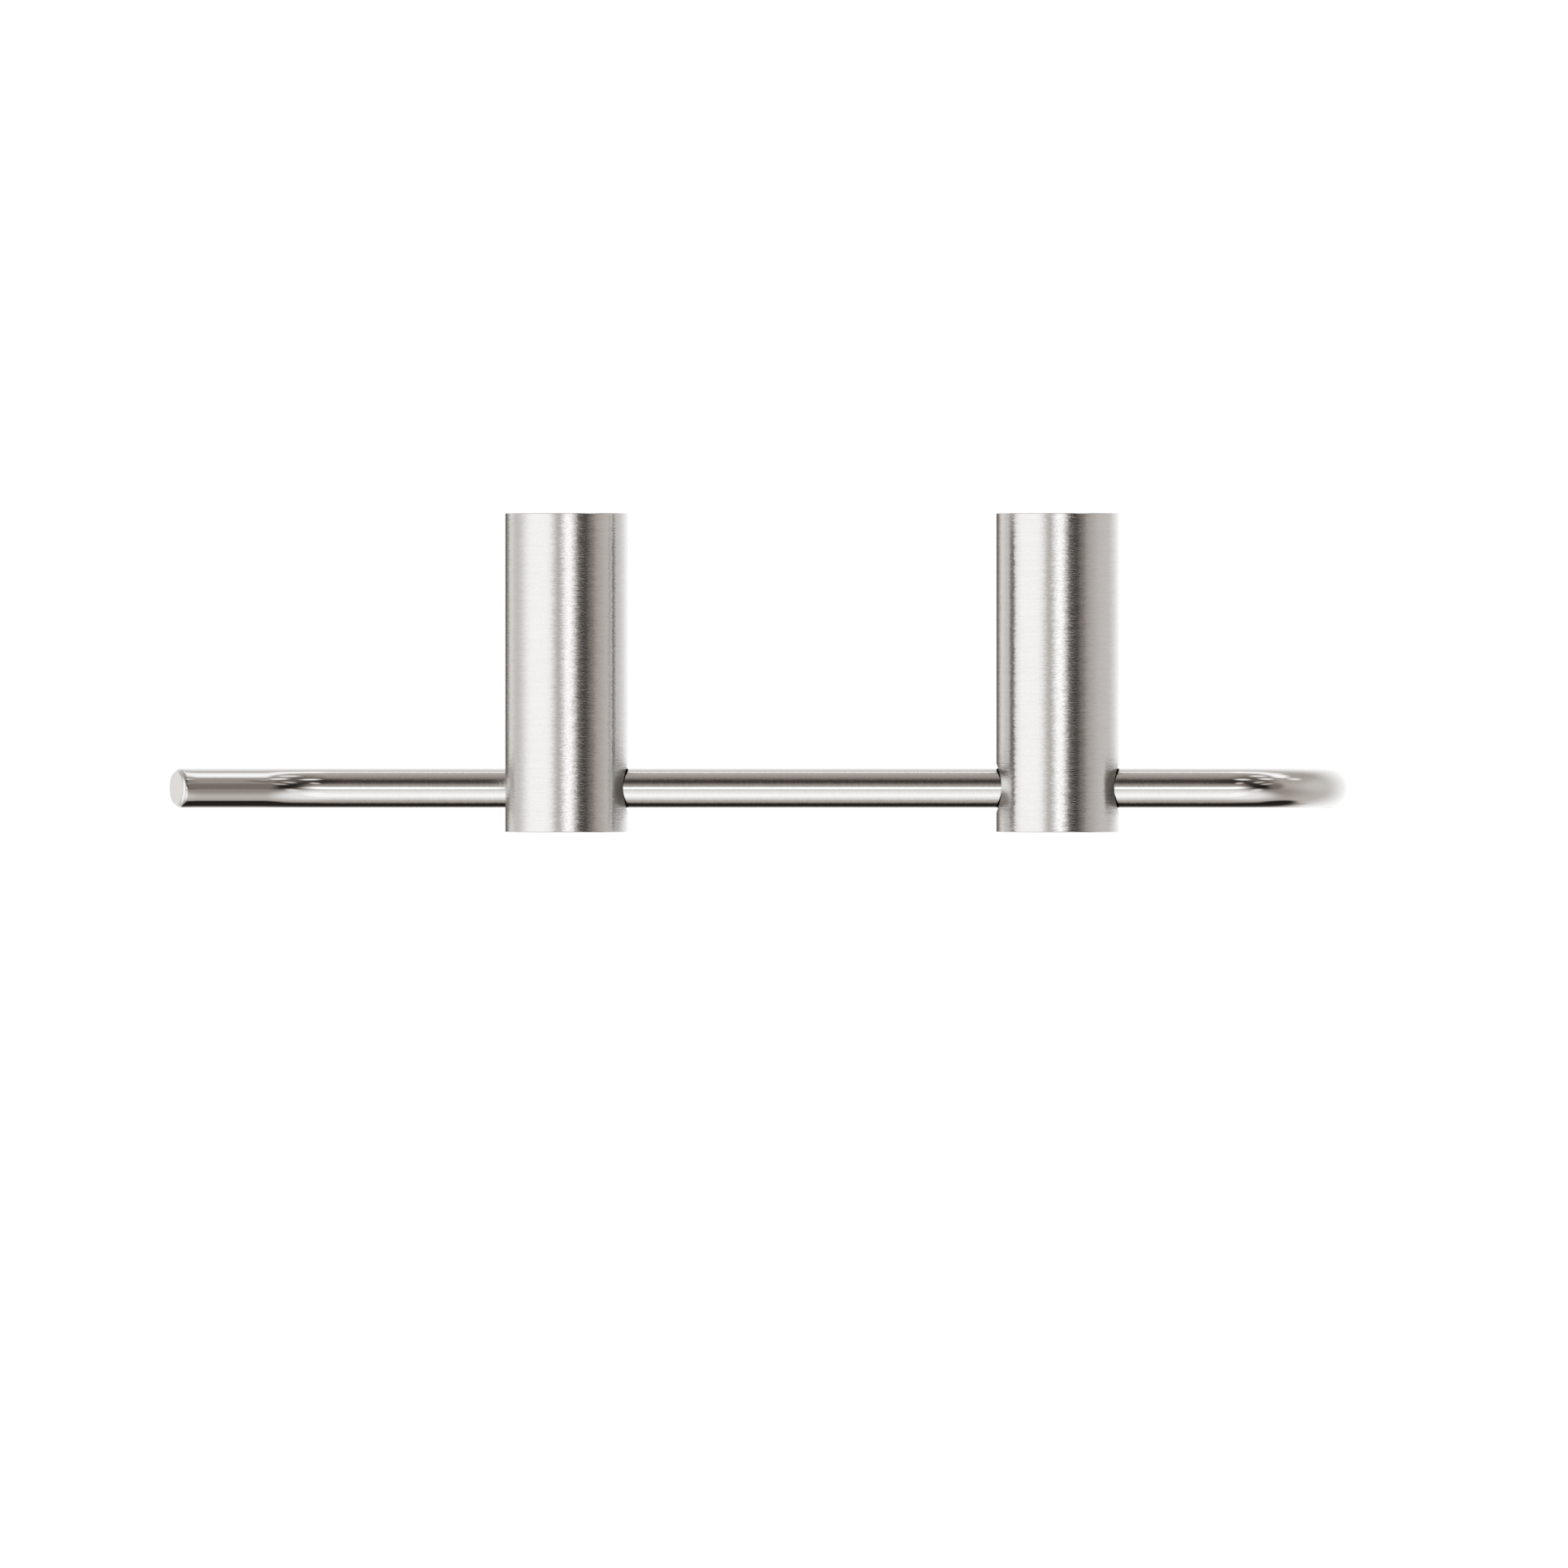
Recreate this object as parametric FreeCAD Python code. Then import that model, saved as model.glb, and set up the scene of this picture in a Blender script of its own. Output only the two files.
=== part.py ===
import FreeCAD, Part
import math
import os

# Wall-mounted hook rail: two round posts stand out from the wall and carry one bent round rod.
# Millimetres. The wall is the plane y = 0 and the object stands out from it towards -Y.
# +X runs along the rod towards the bow, +Z is up, and x = 0 is halfway between the posts.

# Posts
POST_DIA = 25.0
POST_LENGTH = 65.0
POST_SPACING = 100.0
POST_EDGE = 0.1           # edge break on both ends of a post

# Rod: an upper run held in the posts, a bow at the right, a lower run with a raised free end
ROD_DIA = 8.0
ROD_FROM_FRONT = 9.0      # rod axis behind the front face of the posts
RUN_DROP = 40.0           # upper run axis to lower run axis
REACH_RIGHT = 109.0       # middle of the rack to the outside of the bow
REACH_LEFT = 130.8        # middle of the rack to the tip of the free end
TIP_ANGLE = 23.5          # rise of the free end, degrees
TIP_BEND_RADIUS = 35.0
TIP_STRAIGHT = 18.4
TIP_ROUND = 1.0           # rounding on the edge of the free end
ROD_EDGE = 0.3            # edge break on the hidden end

# Bushes between the rod and the posts
BUSH_WALL = 1.0
BUSH_LENGTH = 5.5
BUSH_RECESS = 0.05        # bush face under the lowest point of the rim of its hole
BUSH_GAP = 0.02           # on the radius, inside and outside
BUSH_END_GAP = 0.1        # seat bush to the bottom of its blind hole
SEAT_WALL = 3.5           # metal left beyond the blind hole in the left post
ROD_END_GAP = 0.2         # rod to the bottom of its blind hole

# Grub screws that hold the rod, on the axis of each post
ROD_SCREW_DIA = 5.0
ROD_SCREW_LENGTH = 10.0
ROD_SCREW_HEX = 2.5       # across flats
ROD_SCREW_THREAD = 16.0   # tapped length behind the rod hole
ACCESS_DIA = 6.0          # drilling that lets the key reach the screw
SCREW_GAP = 0.05          # thread to tapped hole on the radius, and tip to what it presses on

# Wall adapters inside the wall end of the posts
ADAPTER_DIA = 17.8
ADAPTER_LENGTH = 11.5
ADAPTER_FIT = 0.1         # on the radius, in the bore of the post
ADAPTER_EDGE = 0.5
BORE_EXTRA = 2.5          # bore deeper than the adapter
WALL_SCREW_HOLE_DIA = 5.5
WALL_SCREW_HEAD_DIA = 10.5
WALL_SCREW_HOLE_LENGTH = 4.5
GROOVE_DEPTH = 1.9
GROOVE_FLAT = 4.6         # width of the bottom of the groove

# Grub screws that lock the posts on the adapters, from below
LOCK_SCREW_DIA = 4.0
LOCK_SCREW_LENGTH = 5.0
LOCK_SCREW_HEX = 2.0
LOCK_FROM_WALL = 6.0

# Derived sizes
POST_R = POST_DIA / 2
ROD_R = ROD_DIA / 2
ROD_Y = ROD_FROM_FRONT - POST_LENGTH
LEFT_X = -POST_SPACING / 2
RIGHT_X = POST_SPACING / 2
ROD_HOLE_R = ROD_R + BUSH_WALL
SEAT_X = LEFT_X - POST_R + SEAT_WALL
BORE_R = ADAPTER_DIA / 2 + ADAPTER_FIT
BORE_DEPTH = ADAPTER_LENGTH + BORE_EXTRA
ROD_HOLE_BACK = ROD_Y + ROD_HOLE_R


def vec(x, y, z):
    return FreeCAD.Vector(x, y, z)


def along_x(radius, x0, x1, y, z):
    """Cylinder along X between two x values."""
    return Part.makeCylinder(radius, x1 - x0, vec(x0, y, z), vec(1, 0, 0))


def off_wall(radius, y0, y1, x):
    """Cylinder on a post's axis, from y0 out to y1."""
    return Part.makeCylinder(radius, y0 - y1, vec(x, y0, 0), vec(0, -1, 0))


def spin(profile, x):
    """Turned piece on a post's axis, from (radius, y) points."""
    points = [vec(x + radius, y, 0) for radius, y in profile]
    face = Part.Face(Part.makePolygon(points + points[:1]))
    return face.revolve(vec(x, 0, 0), vec(0, 1, 0), 360)


def end_edges(solid, points):
    """Circular edges of a solid whose centres are at the given points."""
    return [
        edge
        for edge in solid.Edges
        if hasattr(edge.Curve, "Radius")
        and any(edge.Curve.Center.distanceToPoint(p) < 1e-4 for p in points)
        and edge.isClosed()
    ]


def post(x):
    """Post blank: round bar with the adapter bore, the screw drillings and the lock screw hole."""
    bar = off_wall(POST_R, 0, -POST_LENGTH, x)
    bar = bar.makeChamfer(POST_EDGE, end_edges(bar, [vec(x, 0, 0), vec(x, -POST_LENGTH, 0)]))
    bore = spin(
        [
            (0, 1),
            (BORE_R + ADAPTER_EDGE + 1, 1),
            (BORE_R, -ADAPTER_EDGE),
            (BORE_R, -BORE_DEPTH),
            (0, -BORE_DEPTH),
        ],
        x,
    )
    thread_start = ROD_HOLE_BACK + ROD_SCREW_THREAD
    access = off_wall(ACCESS_DIA / 2, -BORE_DEPTH, thread_start, x)
    tapped = off_wall(ROD_SCREW_DIA / 2, thread_start, ROD_Y, x)
    lock = Part.makeCylinder(
        LOCK_SCREW_DIA / 2, POST_R, vec(x, -LOCK_FROM_WALL, 0), vec(0, 0, -1)
    )
    return bar.cut([bore, access, tapped, lock])


def post_left():
    """The rod hole is blind: it opens on the right only."""
    return post(LEFT_X).cut(along_x(ROD_HOLE_R, SEAT_X, LEFT_X + POST_DIA, ROD_Y, 0))


def post_right():
    """The rod passes right through."""
    return post(RIGHT_X).cut(
        along_x(ROD_HOLE_R, RIGHT_X - POST_DIA, RIGHT_X + POST_DIA, ROD_Y, 0)
    )


def rod_face(centre, normal):
    return Part.Face(Part.Wire(Part.makeCircle(ROD_R, centre, normal)))


def hook_rod():
    """One bent rod: upper run, bow, lower run, tip bend and straight free end."""
    angle = math.radians(TIP_ANGLE)
    bow_radius = RUN_DROP / 2
    bow_x = REACH_RIGHT - ROD_R - bow_radius
    edge_reach = (ROD_R - TIP_ROUND) * math.sin(angle) + TIP_ROUND * (1 - math.cos(angle))
    tip_reach = TIP_BEND_RADIUS * math.sin(angle) + TIP_STRAIGHT * math.cos(angle) + edge_reach
    bend_x = tip_reach - REACH_LEFT

    upper_end = vec(SEAT_X + ROD_END_GAP, ROD_Y, 0)
    bow_start = vec(bow_x, ROD_Y, 0)
    bow_centre = vec(bow_x, ROD_Y, -bow_radius)
    bow_end = vec(bow_x, ROD_Y, -RUN_DROP)
    bend_start = vec(bend_x, ROD_Y, -RUN_DROP)
    bend_centre = bend_start + vec(0, 0, TIP_BEND_RADIUS)
    bend_end = bend_centre + vec(-math.sin(angle), 0, -math.cos(angle)) * TIP_BEND_RADIUS
    tip_way = vec(-math.cos(angle), 0, math.sin(angle))

    right, left = vec(1, 0, 0), vec(-1, 0, 0)
    upper = rod_face(upper_end, right).extrude(bow_start - upper_end)
    bow = rod_face(bow_start, right).revolve(bow_centre, vec(0, 1, 0), 180)
    lower = rod_face(bow_end, left).extrude(bend_start - bow_end)
    bend = rod_face(bend_start, left).revolve(bend_centre, vec(0, 1, 0), TIP_ANGLE)
    tip = rod_face(bend_end, tip_way).extrude(tip_way * TIP_STRAIGHT)
    rod = upper.fuse([bow, lower, bend, tip])

    tip_end = bend_end + tip_way * TIP_STRAIGHT
    rod = rod.makeFillet(TIP_ROUND, end_edges(rod, [tip_end]))
    return rod.makeChamfer(ROD_EDGE, end_edges(rod, [upper_end]))


def bush(x0):
    """Plain bush on the upper run, starting at x0."""
    ring = along_x(ROD_HOLE_R - BUSH_GAP, x0, x0 + BUSH_LENGTH, ROD_Y, 0)
    return ring.cut(along_x(ROD_R + BUSH_GAP, x0, x0 + BUSH_LENGTH, ROD_Y, 0))


def grub_screw(dia, length, hex_af, tip, way):
    """Set screw with a hexagon socket. It points along way and ends at tip."""
    radius = dia / 2 - SCREW_GAP
    edge = dia / 10
    profile = [(0, 0), (radius - edge, 0), (radius, edge), (radius, length - edge)]
    profile += [(radius - edge, length), (0, length)]
    points = [vec(r, 0, z) for r, z in profile]
    body = Part.Face(Part.makePolygon(points + points[:1])).revolve(
        vec(0, 0, 0), vec(0, 0, 1), 360
    )
    corner = hex_af / math.sqrt(3)
    hexagon = [
        vec(corner * math.cos(math.radians(a)), corner * math.sin(math.radians(a)), 0)
        for a in range(0, 361, 60)
    ]
    depth = length * 0.4
    socket = Part.Face(Part.makePolygon(hexagon)).extrude(vec(0, 0, depth + 1))
    socket.translate(vec(0, 0, length - depth))
    screw = body.cut(socket)
    screw.Placement = FreeCAD.Placement(tip, FreeCAD.Rotation(vec(0, 0, -1), way))
    return screw


def rod_screw(x):
    """Presses the rod forward between its two bushes."""
    tip = vec(x, ROD_Y + ROD_R + SCREW_GAP, 0)
    return grub_screw(ROD_SCREW_DIA, ROD_SCREW_LENGTH, ROD_SCREW_HEX, tip, vec(0, -1, 0))


def lock_screw(x):
    """Presses up into the groove of the wall adapter."""
    tip = vec(x, -LOCK_FROM_WALL, GROOVE_DEPTH - ADAPTER_DIA / 2 - SCREW_GAP)
    return grub_screw(LOCK_SCREW_DIA, LOCK_SCREW_LENGTH, LOCK_SCREW_HEX, tip, vec(0, 0, 1))


def wall_adapter(x):
    """Turned plug: wall screw hole with a countersink, and a groove for the lock screw."""
    radius = ADAPTER_DIA / 2
    hole = WALL_SCREW_HOLE_DIA / 2
    head = WALL_SCREW_HEAD_DIA / 2
    flat = GROOVE_FLAT / 2
    return spin(
        [
            (hole, 0),
            (radius - ADAPTER_EDGE, 0),
            (radius, -ADAPTER_EDGE),
            (radius, -LOCK_FROM_WALL + flat + GROOVE_DEPTH),
            (radius - GROOVE_DEPTH, -LOCK_FROM_WALL + flat),
            (radius - GROOVE_DEPTH, -LOCK_FROM_WALL - flat),
            (radius, -LOCK_FROM_WALL - flat - GROOVE_DEPTH),
            (radius, ADAPTER_EDGE - ADAPTER_LENGTH),
            (radius - ADAPTER_EDGE, -ADAPTER_LENGTH),
            (head, -ADAPTER_LENGTH),
            (head, -WALL_SCREW_HOLE_LENGTH - head + hole),
            (hole, -WALL_SCREW_HOLE_LENGTH),
        ],
        x,
    )


bush_face = math.sqrt(POST_R**2 - ROD_HOLE_R**2) - BUSH_RECESS
nodes = {
    "post_left": post_left(),
    "post_right": post_right(),
    "hook_rod": hook_rod(),
    "bush_left_mouth": bush(LEFT_X + bush_face - BUSH_LENGTH),
    "bush_left_seat": bush(SEAT_X + BUSH_END_GAP),
    "bush_right_inner": bush(RIGHT_X - bush_face),
    "bush_right_outer": bush(RIGHT_X + bush_face - BUSH_LENGTH),
    "rod_screw_left": rod_screw(LEFT_X),
    "rod_screw_right": rod_screw(RIGHT_X),
    "wall_adapter_left": wall_adapter(LEFT_X),
    "wall_adapter_right": wall_adapter(RIGHT_X),
    "lock_screw_left": lock_screw(LEFT_X),
    "lock_screw_right": lock_screw(RIGHT_X),
}

os.makedirs("parts", exist_ok=True)
for name, shape in nodes.items():
    shape.exportStep(f"parts/{name}.step")
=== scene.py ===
import bpy
import numpy as np
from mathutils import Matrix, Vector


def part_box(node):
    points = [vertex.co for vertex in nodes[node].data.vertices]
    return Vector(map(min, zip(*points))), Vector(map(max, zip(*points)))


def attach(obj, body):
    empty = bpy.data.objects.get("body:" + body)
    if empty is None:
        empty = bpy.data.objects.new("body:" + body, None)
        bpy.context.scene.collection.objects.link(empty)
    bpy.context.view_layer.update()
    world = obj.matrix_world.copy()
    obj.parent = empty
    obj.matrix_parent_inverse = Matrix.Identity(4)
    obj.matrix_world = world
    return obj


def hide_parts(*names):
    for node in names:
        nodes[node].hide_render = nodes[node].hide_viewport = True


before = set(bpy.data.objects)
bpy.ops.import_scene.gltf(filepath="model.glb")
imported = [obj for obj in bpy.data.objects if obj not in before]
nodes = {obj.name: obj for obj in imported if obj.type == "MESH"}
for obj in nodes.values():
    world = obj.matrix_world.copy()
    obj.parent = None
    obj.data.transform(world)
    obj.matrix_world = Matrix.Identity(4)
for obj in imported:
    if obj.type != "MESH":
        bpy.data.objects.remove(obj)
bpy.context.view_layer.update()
mm = 0.001

# ---------------------------------------------------------------- the two posts
# Solid round bars of stainless steel, 25 by 65 mm, turned and then brushed round and round with
# an abrasive belt, so fine marks circle the bar. The front face is faced off on a lathe, and
# the holes for the rod are dull inside, their walls painted near black as painted shade.

POSTS = ("post_left", "post_right")
post_low, post_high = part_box("post_left")
rod_low, rod_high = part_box("hook_rod")
POST_RADIUS = (post_high.x - post_low.x) / 2
ROD_Y = (rod_low.y + rod_high.y) / 2
ROD_HOLE_RADIUS = 5 * mm
POST_BRUSH_DEPTH = 0.018 * mm
POST_BRUSH_LEAN = 0.1
FACING_WAVES = 2600  # radians of lathe mark per metre of radius
STEEL = (0.80, 0.792, 0.78)
# Near-black painted shade for the walls of the rod's holes.
HOLE_SHADE = (0.012, 0.011, 0.010)


def middle_x(node):
    """Where a round piece's axis is in X: halfway across its box."""
    low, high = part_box(node)
    return (low.x + high.x) / 2


class Shade:
    """A value, vector or colour in a node tree. Arithmetic on it adds Math nodes."""

    def __init__(self, tree, socket=None):
        self.tree = tree
        self.socket = socket

    def node(self, kind, settings=(), values=(), out=0):
        """Adds a node, sets its properties and its sockets or links, and wraps one of its outputs."""
        made = self.tree.nodes.new(kind)
        for key, value in dict(settings).items():
            setattr(made, key, value)
        for key, value in dict(values).items():
            if isinstance(value, Shade):
                self.tree.links.new(value.socket, made.inputs[key])
            else:
                made.inputs[key].default_value = value
        return Shade(self.tree, made.outputs[out])

    def math(self, operation, *values):
        return self.node("ShaderNodeMath", {"operation": operation}, dict(enumerate(values)))

    def __add__(self, other):
        return self.math("ADD", self, other)

    def __radd__(self, other):
        return self.math("ADD", other, self)

    def __sub__(self, other):
        return self.math("SUBTRACT", self, other)

    def __rsub__(self, other):
        return self.math("SUBTRACT", other, self)

    def __mul__(self, other):
        return self.math("MULTIPLY", self, other)

    def __rmul__(self, other):
        return self.math("MULTIPLY", other, self)

    def __truediv__(self, other):
        return self.math("DIVIDE", self, other)

    def __rtruediv__(self, other):
        return self.math("DIVIDE", other, self)

    def __abs__(self):
        return self.math("ABSOLUTE", self)

    def root(self):
        return self.math("SQRT", self)

    def ramp(self, low, high, to_low=0.0, to_high=1.0):
        """Smooth step from to_low at low up to to_high at high."""
        return self.node(
            "ShaderNodeMapRange",
            {"interpolation_type": "SMOOTHSTEP"},
            {0: self, 1: low, 2: high, 3: to_low, 4: to_high},
        )

    def axes(self):
        """The three parts of a vector."""
        parts = self.node("ShaderNodeSeparateXYZ", {}, {0: self})
        return [Shade(self.tree, out) for out in parts.socket.node.outputs]

    def noise(self, scale, offset=(0.0, 0.0, 0.0), detail=2.0, roughness=0.5):
        """Noise on this vector, stretched by three scales in marks per metre."""
        placed = self.node("ShaderNodeMapping", {}, {0: self, 1: offset, 3: scale})
        return self.node(
            "ShaderNodeTexNoise",
            {},
            {"Vector": placed, "Scale": 1.0, "Detail": detail, "Roughness": roughness},
        )

    def tint(self, at_zero, at_one):
        """Colour between two colours, by this value. Each is a shade or three numbers."""
        ends = [end if isinstance(end, Shade) else (*end, 1.0) for end in (at_zero, at_one)]
        return self.node(
            "ShaderNodeMix", {"data_type": "RGBA"}, {"Factor": self, 6: ends[0], 7: ends[1]}, out=2
        )

    def bump(self, depth, strength=1.0, **more):
        """Surface normal bumped by this value as a height, to a depth in metres."""
        return self.node(
            "ShaderNodeBump", {}, {"Strength": strength, "Distance": depth, "Height": self, **more}
        )


def bare_material(name, colour, metallic=1.0):
    """A plain material: itself, its shader node, a Shade on its tree and its object coordinates."""
    material = bpy.data.materials.new(name)
    material.use_nodes = True
    shader = material.node_tree.nodes["Principled BSDF"]
    shader.inputs["Metallic"].default_value = metallic
    shader.inputs["Base Color"].default_value = (*colour, 1.0)
    pen = Shade(material.node_tree)
    place = pen.node("ShaderNodeTexCoord", out="Object")
    return material, shader, pen, place


def plug(shader, **sockets):
    """Links each shade to the socket of that name on a shader node."""
    for name, shade in sockets.items():
        shade.tree.links.new(shade.socket, shader.inputs[name.replace("_", " ")])


def brushed_normal(pen, axis, lean):
    """The surface normal leaned round a bar by a small value that changes from mark to mark:
    normal + lean * (axis cross normal), at unit length."""
    normal = pen.node("ShaderNodeNewGeometry", out="Normal")
    around = pen.node("ShaderNodeVectorMath", {"operation": "CROSS_PRODUCT"}, {0: axis, 1: normal})
    step = pen.node("ShaderNodeVectorMath", {"operation": "SCALE"}, {0: around, "Scale": lean})
    leaned = pen.node("ShaderNodeVectorMath", {"operation": "ADD"}, {0: normal, 1: step})
    return pen.node("ShaderNodeVectorMath", {"operation": "NORMALIZE"}, {0: leaned})


def post_steel(name, centre_x, offset):
    """Marks circle the post: noise that runs fast along Y and slowly round the bar. The front
    face has rings, the sine of the distance from the axis; the rod's hole is dull and painted near
    black: painted shade."""
    material, shader, pen, place = bare_material(name, STEEL)
    x, y, z = place.axes()
    side = x - centre_x
    radius = (side * side + z * z).root()
    fine = place.noise((1600, 4500, 1600), offset, detail=2.0)
    broad = place.noise((80, 1800, 80), offset, detail=2.0)
    facing = pen.math("SINE", radius * FACING_WAVES) * 0.12 + fine * 0.3
    on_side = radius.ramp(POST_RADIUS - 0.5 * mm, POST_RADIUS - 0.15 * mm)
    marks = fine + broad * 0.6
    height = facing + (marks - facing) * on_side
    rows = place.noise((500, 3000, 500), offset, detail=1.5)
    leaned = brushed_normal(pen, (0.0, 1.0, 0.0), (rows - 0.5) * on_side * POST_BRUSH_LEAN)
    normal_x = abs(pen.node("ShaderNodeNewGeometry", out="True Normal").axes()[0])
    from_rod = ((y - ROD_Y) * (y - ROD_Y) + z * z).root()
    in_hole = from_rod.ramp(ROD_HOLE_RADIUS + 0.06 * mm, ROD_HOLE_RADIUS + 0.03 * mm)
    # Painted shade: the walls of the rod's hole are painted near black, and they are also rougher.
    dull_shaded_hole = normal_x.ramp(0.8, 0.7) * in_hole
    worn = (fine * 0.6 + broad * 0.4).ramp(0.3, 0.7)
    light = worn.tint([c * 0.94 for c in STEEL], STEEL)
    plug(
        shader,
        Base_Color=dull_shaded_hole.tint(light, HOLE_SHADE),
        Roughness=0.14 + worn * 0.05 + dull_shaded_hole * 0.4,
        Normal=height.bump(POST_BRUSH_DEPTH, Normal=leaned),
    )
    return material


for number, node in enumerate(POSTS):
    nodes[node].material_slots[0].material = post_steel(
        "post_steel_" + node[5:], middle_x(node), (3.1 * number, 7.7 * number, 0.0)
    )

# ---------------------------------------------------------------- the bent rod
# One 8 mm stainless rod. Its straight runs are brushed round the rod; the bow and the bend of
# the free end were polished after bending, and so was the short straight end with its rounded
# edge. The inner end, hidden in the left post, is only chamfered.

ROD_RADIUS = 4 * mm
BEND_RADIUS = 35 * mm
TIP_ANGLE = np.radians(23.5)
TIP_STRAIGHT = 18.4 * mm
TIP_ROUND = 1 * mm
RUN_DROP = -rod_low.z - ROD_RADIUS
BOW_X = rod_high.x - ROD_RADIUS - RUN_DROP / 2
BEND_X = (
    rod_low.x
    + (BEND_RADIUS + ROD_RADIUS - TIP_ROUND) * np.sin(TIP_ANGLE)
    + TIP_STRAIGHT * np.cos(TIP_ANGLE)
    + TIP_ROUND * (1 - np.cos(TIP_ANGLE))
)
ROD_END_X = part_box("bush_left_seat")[0].x + 0.1 * mm
ROUND_STEPS = 160
ROD_BRUSH_DEPTH = 0.011 * mm
ROD_BRUSH_LEAN = 0.05
# Lighter colour of the rod's flat end: a painted highlight.
FACED_HIGHLIGHT = (0.97, 0.965, 0.955)


def rod_line():
    """Middle of the rod as points and unit ways, in the plane y = ROD_Y. Straight runs join
    arcs: centre plus radius times (sine, cosine) of an angle that goes evenly along the arc."""
    upper_x = np.linspace(ROD_END_X, BOW_X, 40)
    upper = np.stack([upper_x, 0 * upper_x], 1)
    turn = np.linspace(0, np.pi, 181)[1:-1]
    drop = RUN_DROP / 2
    bow = np.stack([BOW_X + drop * np.sin(turn), drop * (np.cos(turn) - 1)], 1)
    lower_x = np.linspace(BOW_X, BEND_X, 50)
    lower = np.stack([lower_x, 0 * lower_x - RUN_DROP], 1)
    rise = np.linspace(0, TIP_ANGLE, 41)[1:]
    bend = np.stack(
        [BEND_X - BEND_RADIUS * np.sin(rise), BEND_RADIUS * (1 - np.cos(rise)) - RUN_DROP], 1
    )
    way = np.array([-np.cos(TIP_ANGLE), np.sin(TIP_ANGLE)])
    end = bend[-1] + np.linspace(0, TIP_STRAIGHT - TIP_ROUND, 8)[1:, None] * way
    flat = np.concatenate([upper, bow, lower, bend, end])
    ways = np.concatenate(
        [
            np.tile([1.0, 0.0], (len(upper), 1)),
            np.stack([np.cos(turn), -np.sin(turn)], 1),
            np.tile([-1.0, 0.0], (len(lower), 1)),
            np.stack([-np.cos(rise), np.sin(rise)], 1),
            np.tile(way, (len(end), 1)),
        ]
    )
    return flat, ways


def tube_rings(line, ways, radii, steps):
    """Rings across a line in an XZ plane: point + radius * (across * cos t + Y * sin t), where
    across is the line's way turned a quarter round Y. The result is rings by steps by 3."""
    t = np.linspace(0, 2 * np.pi, steps, endpoint=False)
    across = np.stack([-ways[:, 1], ways[:, 0]], 1)
    spread = radii[:, None] * np.cos(t)
    x = line[:, :1] + across[:, :1] * spread
    z = line[:, 1:] + across[:, 1:] * spread
    y = ROD_Y + radii[:, None] * np.sin(t) + 0 * x
    return np.stack([x, y, z], 2)


def closed_tube(name, rings):
    """Mesh of a tube: quads between rings, and a fan to a middle point at both ends."""
    count, steps = rings.shape[:2]
    points = np.concatenate([rings.reshape(-1, 3), rings[0].mean(0)[None], rings[-1].mean(0)[None]])
    ring, step = np.meshgrid(np.arange(count - 1), np.arange(steps), indexing="ij")
    after = (step + 1) % steps
    a, b = ring * steps + step, ring * steps + after
    quads = np.stack([a, a + steps, b + steps, b], 2).reshape(-1, 4)
    first, here = count * steps, np.arange(steps)
    there = (here + 1) % steps
    last = (count - 1) * steps
    fans = np.concatenate(
        [
            np.stack([here * 0 + first, here, there], 1),
            np.stack([here * 0 + first + 1, last + there, last + here], 1),
        ]
    )
    mesh = bpy.data.meshes.new(name)
    mesh.from_pydata(points.tolist(), [], quads.tolist() + fans.tolist())
    mesh.shade_smooth()
    made = bpy.data.objects.new(name, mesh)
    bpy.context.scene.collection.objects.link(made)
    return made


line, ways = rod_line()
radii = np.full(len(line), ROD_RADIUS)
round_off = np.linspace(0, np.pi / 2, 13)[1:]
round_line = line[-1] + TIP_ROUND * np.sin(round_off)[:, None] * ways[-1]
round_radii = ROD_RADIUS - TIP_ROUND + TIP_ROUND * np.cos(round_off)
face_radii = np.array([0.99, 0.6, 0.2]) * (ROD_RADIUS - TIP_ROUND)
face_line = np.tile(round_line[-1], (len(face_radii), 1))
start_line = line[0] + np.array([[0.0, 0.0], [0.0, 0.0], [0.3 * mm, 0.0]])
start_radii = np.array([0.5, 0.923, 1.0]) * ROD_RADIUS
rod = closed_tube(
    "bent_rod",
    tube_rings(
        np.concatenate([start_line, line[1:], round_line, face_line]),
        np.concatenate([ways[[0, 0, 0]], ways[1:], ways[[-1] * len([*round_line, *face_line])]]),
        np.concatenate([start_radii, radii[1:], round_radii, face_radii]),
        ROUND_STEPS,
    ),
)


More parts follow.
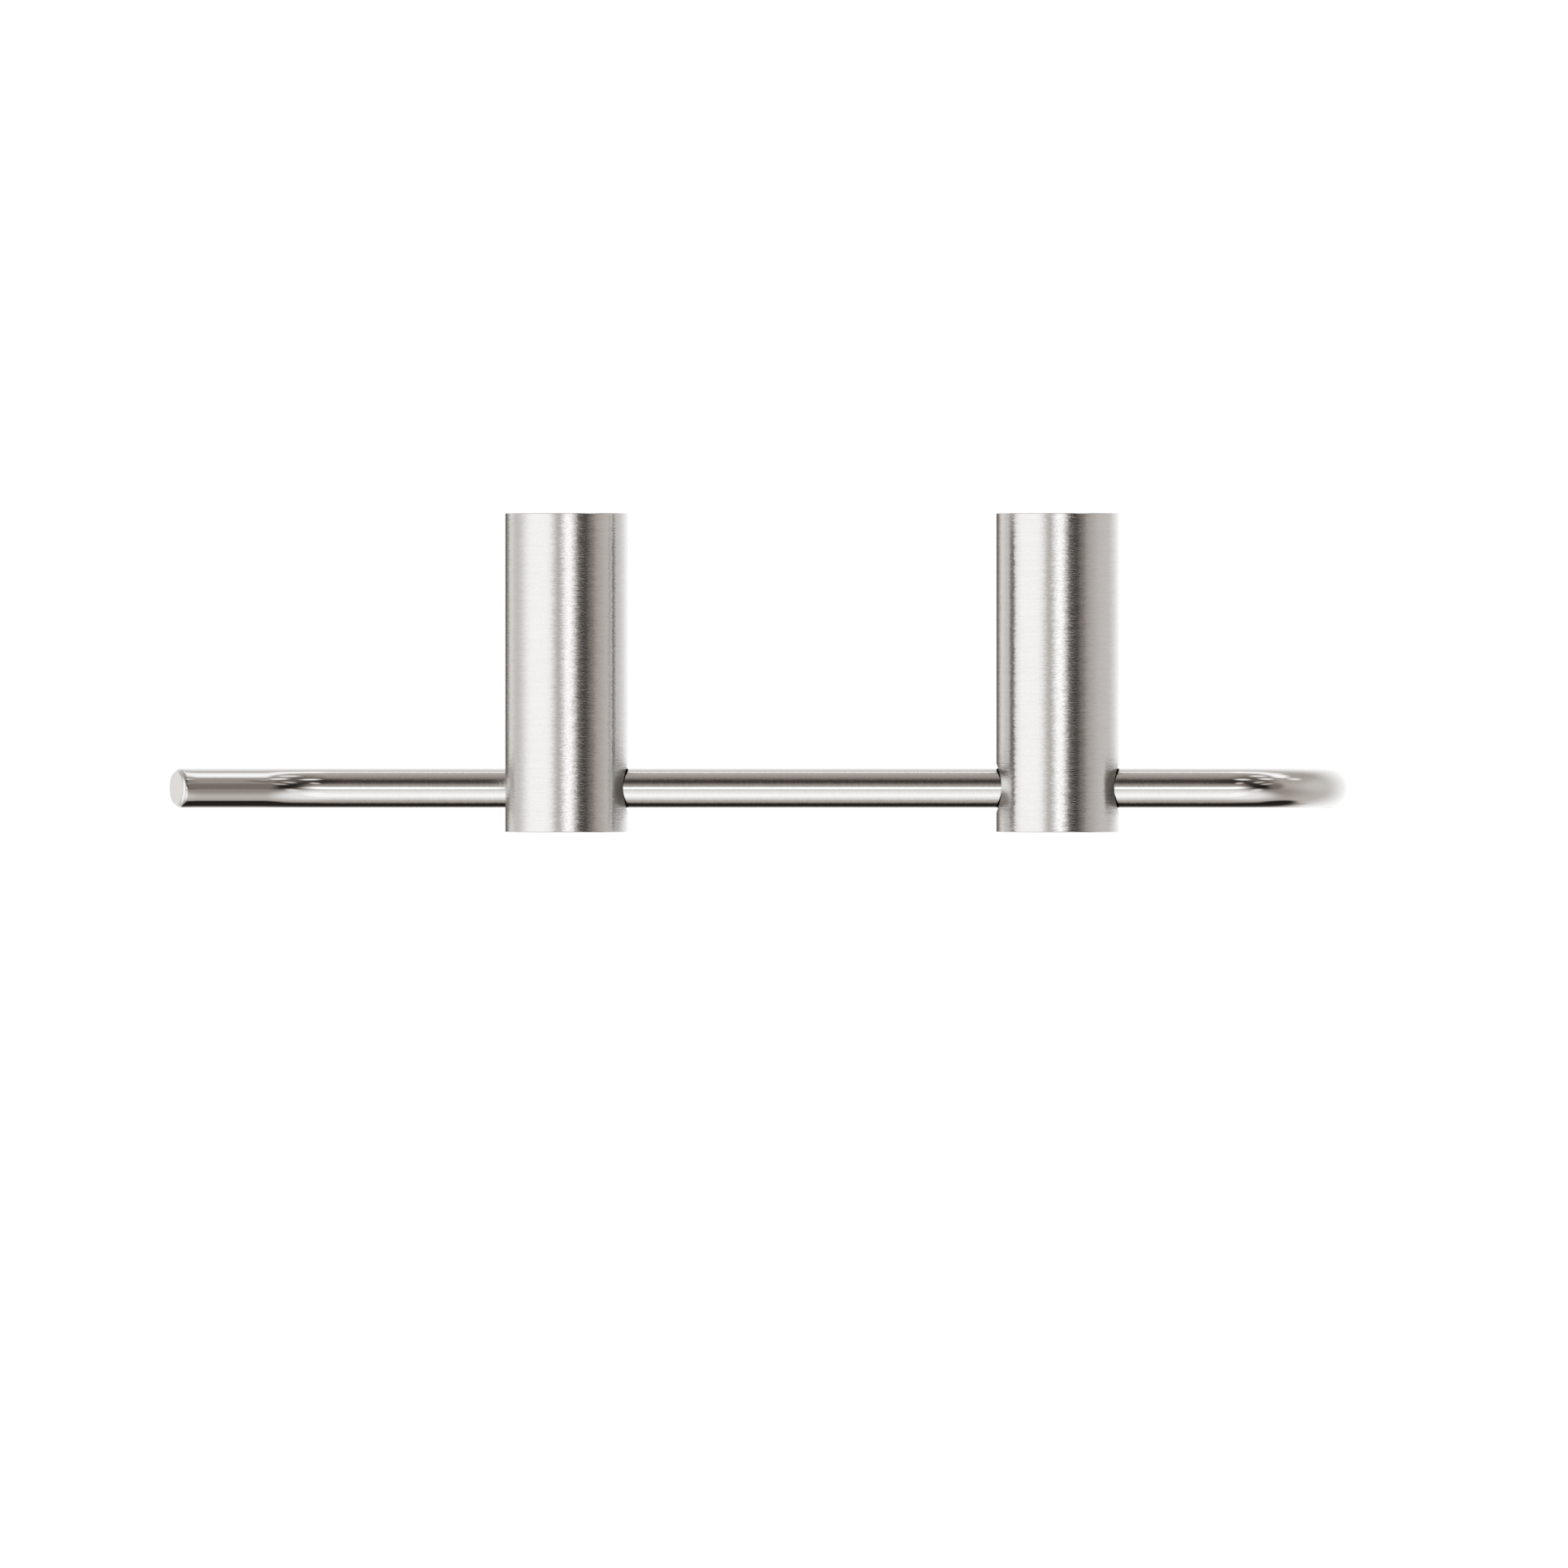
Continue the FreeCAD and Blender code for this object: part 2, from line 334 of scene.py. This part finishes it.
def rod_steel():
    """Marks circle the straight runs: noise that runs fast along X. They fade out at the bends.
    The flat end, where the way past it along the rod is zero, is faced off and duller, and its colour
    is painted lighter as a painted highlight."""
    material, shader, pen, place = bare_material("rod_steel", STEEL)
    x, _, z = place.axes()
    fine = place.noise((5000, 900, 900), detail=2.0)
    broad = place.noise((1400, 260, 260), detail=1.0)
    straight = x.ramp(BEND_X - 2 * mm, BEND_X + 5 * mm) * x.ramp(BOW_X + 2 * mm, BOW_X - 5 * mm)
    height = (fine * 0.8 + broad * 0.4) * straight
    rows = place.noise((3000, 500, 500), detail=1.5)
    leaned = brushed_normal(pen, (1.0, 0.0, 0.0), (rows - 0.5) * straight * ROD_BRUSH_LEAN)
    worn = fine.ramp(0.3, 0.7)
    polish = place.noise((180, 180, 180), detail=2.0)
    past_x, past_z = x - float(face_line[0, 0]), z - float(face_line[0, 1])
    past_end = past_z * float(ways[-1, 1]) + past_x * float(ways[-1, 0])
    faced_and_highlight = past_end.ramp(-0.04 * mm, -0.02 * mm)
    light = worn.tint([c * 0.97 for c in STEEL], STEEL)
    rough = 0.06 + straight * (0.03 + worn * 0.03) + polish * 0.02
    plug(
        shader,
        # Painted highlight: the flat end is painted lighter; its higher roughness is its real
        # faced-off finish.
        Base_Color=faced_and_highlight.tint(light, FACED_HIGHLIGHT),
        Roughness=rough + faced_and_highlight * 0.35,
        Normal=height.bump(ROD_BRUSH_DEPTH, Normal=leaned),
    )
    return material


rod.data.materials.append(rod_steel())
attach(rod, "root")
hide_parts("hook_rod")

# ---------------------------------------------------------------- the four bushes
# Plain black nylon rings pressed into the rod holes. They keep the polished rod off the steel
# and sit just inside the mouths of the holes.

BUSHES = ("bush_left_mouth", "bush_left_seat", "bush_right_inner", "bush_right_outer")


def black_nylon():
    """Moulded black plastic: a fine grain in the roughness and the bump."""
    material, shader, pen, place = bare_material("black_nylon", (0.012, 0.012, 0.013), metallic=0.0)
    grain = place.noise((9000, 9000, 9000), detail=2.0)
    plug(
        shader,
        Base_Color=grain.tint((0.008, 0.008, 0.009), (0.018, 0.018, 0.019)),
        Roughness=0.45 + grain * 0.2,
        Normal=grain.bump(0.01 * mm, strength=0.6),
    )
    return material


nylon = black_nylon()
for node in BUSHES:
    nodes[node].material_slots[0].material = nylon

# ---------------------------------------------------------------- wall adapters
# Turned stainless plugs, screwed to the wall inside the wall end of each post. Lathe marks ring
# their faces; the groove takes the lock screw.

ADAPTERS = ("wall_adapter_left", "wall_adapter_right")
TURNING_WAVES = 38000  # radians of lathe mark per metre


def turned_steel(name, centre_x):
    """Rings from the lathe: a fine wave in the distance from the axis and along it."""
    material, shader, pen, place = bare_material(name, (0.60, 0.59, 0.575))
    x, y, z = place.axes()
    side = x - centre_x
    radius = (side * side + z * z).root()
    ring = pen.math("SINE", (radius + y * 0.7) * TURNING_WAVES)
    cloud = place.noise((700, 700, 700), detail=3.0)
    plug(
        shader,
        Base_Color=cloud.tint((0.50, 0.49, 0.475), (0.64, 0.63, 0.61)),
        Roughness=0.28 + cloud * 0.16,
        Normal=(ring * 0.3 + cloud).bump(0.006 * mm, strength=0.7),
    )
    return material


for node in ADAPTERS:
    nodes[node].material_slots[0].material = turned_steel("turned_" + node[13:], middle_x(node))

# ---------------------------------------------------------------- set screws
# Four stainless hexagon socket set screws: one on the axis of each post presses on the rod, and
# one in the underside of each post near the wall locks it on its adapter.

SCREWS = ("rod_screw_left", "rod_screw_right", "lock_screw_left", "lock_screw_right")


def screw_steel():
    """Plain cold-formed stainless steel with slight mottling."""
    material, shader, pen, place = bare_material("screw_steel", (0.48, 0.47, 0.455))
    cloud = place.noise((1500, 1500, 1500), detail=4.0)
    plug(
        shader,
        Base_Color=cloud.tint((0.36, 0.355, 0.345), (0.56, 0.55, 0.535)),
        Roughness=0.3 + cloud * 0.2,
        Normal=cloud.bump(0.01 * mm, strength=0.5),
    )
    return material


screws = screw_steel()
for node in SCREWS:
    nodes[node].material_slots[0].material = screws

# ---------------------------------------------------------------- floor, light and camera
# A plain pale floor well below the rack, and a white studio whose lamps, windows and dark
# corners only show as reflections in the steel.

FLOOR_HALF = 4.0
FLOOR_Z = -0.9
CAMERA_PLACE = (-5.756 * mm, -55.18 * mm, 0.6)
CAMERA_WIDTH = 319.3 * mm


def floor():
    """A flat square, well below the rack."""
    mesh = bpy.data.meshes.new("floor")
    corner = np.array([[-1, -1], [1, -1], [1, 1], [-1, 1]]) * FLOOR_HALF
    mesh.from_pydata([(x, y, FLOOR_Z) for x, y in corner.tolist()], [], [(0, 1, 2, 3)])
    made = bpy.data.objects.new("floor", mesh)
    bpy.context.scene.collection.objects.link(made)
    material = bpy.data.materials.new("floor_white")
    material.use_nodes = True
    shader = material.node_tree.nodes["Principled BSDF"]
    shader.inputs["Base Color"].default_value = (0.9, 0.9, 0.9, 1.0)
    shader.inputs["Roughness"].default_value = 1.0
    shader.inputs["Specular IOR Level"].default_value = 0.0
    mesh.materials.append(material)
    made.visible_glossy = False
    return made


floor()

# Each panel of the studio is a soft ellipse: middle, half sizes, turn in degrees, softness of its
# edge and brightness. Places are where a mirror ball would show it from above: (0, 0) is overhead,
# the rim is straight down, +X is right and +Y the wall. Later panels hang in front of earlier ones.
SCREENS = (
    # on the left, a grey flat with a bright screen in front of it
    ((-0.60, -0.20), (0.30, 0.70), 50, 0.2, 0.67),
    ((-0.42, -0.10), (0.28, 0.45), 0, 0.4, 1.15),
    # grey wall in front, light wall on the right, and the corner beside the wall
    ((0.10, -0.40), (0.30, 1.10), 0, 0.5, 0.41),
    ((0.90, 0.07), (0.25, 0.50), 65, 0.8, 0.67),
    ((0.50, 0.85), (0.15, 0.60), 0, 0.8, 0.45),
    # dark end of the room, with three black drapes and a grey one
    ((0.20, 0.34), (0.15, 0.28), 12, 0.5, 0.16),
    ((0.05, 0.34), (0.11, 0.15), 0, 0.6, 0.04),
    ((0.19, 0.20), (0.05, 0.12), 20, 0.6, 0.05),
    ((0.28, 0.06), (0.13, 0.14), 0, 0.7, 0.02),
    ((0.39, 0.10), (0.05, 0.13), 0, 0.8, 0.22),
    # soft box in front, a strip light beside it, and its hot middle
    ((0.04, -0.35), (0.30, 0.25), -25, 0.45, 0.98),
    ((0.22, -0.13), (0.04, 0.08), -25, 0.6, 0.85),
    ((0.05, -0.35), (0.12, 0.08), 60, 0.5, 1.2),
)
# Rows of like panels: their middles, half sizes, softness and brightness. Two rows of windows
# are near the wall, and three small lamps hang above them.
ROWS = (
    (((0.05, 0.80), (0.15, 0.78), (0.26, 0.71), (0.33, 0.63), (0.37, 0.56)), (0.07, 0.04), 0.6, 1.2),
    (((0.20, 0.60), (0.28, 0.46), (0.10, 0.43), (0.50, 0.45)), (0.06, 0.04), 0.5, 0.95),
    (((0.08, 0.24), (0.24, 0.29), (0.31, 0.20)), (0.03, 0.05), 0.5, 0.6),
)
OVERHEAD_LAMP = (((0.03, 0.00), (0.10, 0.05), 10, 0.9, 1.6),)
# On the white floor in front lie a dark carpet, a slightly paler one below it and its turned-up
# corner. A dark strip is low on the left.
CARPETS = (
    ((0.08, -0.88), (0.20, 0.09), 12, 0.4, 0.09),
    ((0.06, -0.83), (0.32, 0.08), 8, 0.3, 0.02),
    ((0.28, -0.745), (0.18, 0.075), 35, 0.3, 0.02),
    ((-0.99, 0.00), (0.05, 0.63), 0, 0.9, 0.15),
)
CEILING_GREY = 0.28
SIDES_GREY = 0.60
FLOOR_WHITE = 1.13
EVEN_WHITE = 1.15
SECOND_DIMMING = 0.7


def row(middles, half, soft, bright):
    """Like panels in a row, each turned along its own circle round the point overhead."""
    return [((u, v), half, np.degrees(np.arctan2(v, u)) - 90, soft, bright) for u, v in middles]


def hang_panels(glow, u, v, panels):
    """Each panel covers what is behind it where its ellipse, (along / half)^2 + (across / half)^2,
    is under one, with a soft edge."""
    for (middle_u, middle_v), (half_u, half_v), turn, soft, bright in panels:
        cos, sin = np.cos(np.radians(turn)), np.sin(np.radians(turn))
        along = ((u - middle_u) * cos + (v - middle_v) * sin) / half_u
        across = ((v - middle_v) * cos - (u - middle_u) * sin) / half_v
        edge = (along * along + across * across).root()
        glow = glow + edge.ramp(1 + soft, 1 - soft) * (bright - glow)
    return glow


def studio():
    """World shader. Reflections see the panels, everything else sees even white. A direction d
    shows on the mirror ball at (dx, dy) / sqrt(2 (1 + dz)). Light that met the steel before is
    dimmed where it comes from low down, from the right or from the front left."""
    world = bpy.data.worlds.new("studio")
    world.use_nodes = True
    world.cycles.sampling_method = "NONE"
    pen = Shade(world.node_tree)
    dx, dy, dz = pen.node("ShaderNodeTexCoord", out="Generated").axes()
    reach = (2 * (dz + 1.0001)).root()
    u, v = dx / reach, dy / reach
    rim = (u * u + v * v).root()
    glow = CEILING_GREY + rim.ramp(0.35, 0.85) * (SIDES_GREY - CEILING_GREY)
    glow = hang_panels(glow, u, v, SCREENS)
    for middles, half, soft, bright in ROWS:
        glow = hang_panels(glow, u, v, row(middles, half, soft, bright))
    glow = hang_panels(glow, u, v, OVERHEAD_LAMP)
    glow = glow + rim.ramp(0.81, 1.03) * (FLOOR_WHITE - glow)
    glow = hang_panels(glow, u, v, CARPETS)
    bounces = pen.node("ShaderNodeLightPath", out="Glossy Depth")
    shaded = pen.math("MAXIMUM", rim.ramp(0.6, 0.75), u.ramp(-0.1, 0.1))
    shaded = pen.math("MAXIMUM", shaded, v.ramp(0.0, -0.2) * u.ramp(-0.2, -0.35))
    glow = glow * (1 - bounces.ramp(1, 2) * shaded * SECOND_DIMMING)
    white = glow.ramp(0.1, 1.0)
    colour = pen.node(
        "ShaderNodeCombineColor",
        {},
        {0: glow, 1: glow * (0.87 + white * 0.13), 2: glow * (0.79 + white * 0.21)},
    )
    seen = pen.node("ShaderNodeBackground", {}, {"Color": colour, "Strength": 1.0})
    even = pen.node("ShaderNodeBackground", {}, {"Color": (1, 1, 1, 1), "Strength": EVEN_WHITE})
    glossy = pen.node("ShaderNodeLightPath", out="Is Glossy Ray")
    both = pen.node("ShaderNodeMixShader", {}, {0: glossy, 1: even, 2: seen})
    plug(world.node_tree.nodes["World Output"], Surface=both)
    return world


scene = bpy.context.scene
scene.world = studio()
scene.view_settings.view_transform = "Standard"

camera_data = bpy.data.cameras.new("camera")
camera_data.type = "ORTHO"
camera_data.ortho_scale = CAMERA_WIDTH
camera = bpy.data.objects.new("camera", camera_data)
camera.location = CAMERA_PLACE
scene.collection.objects.link(camera)
scene.camera = camera
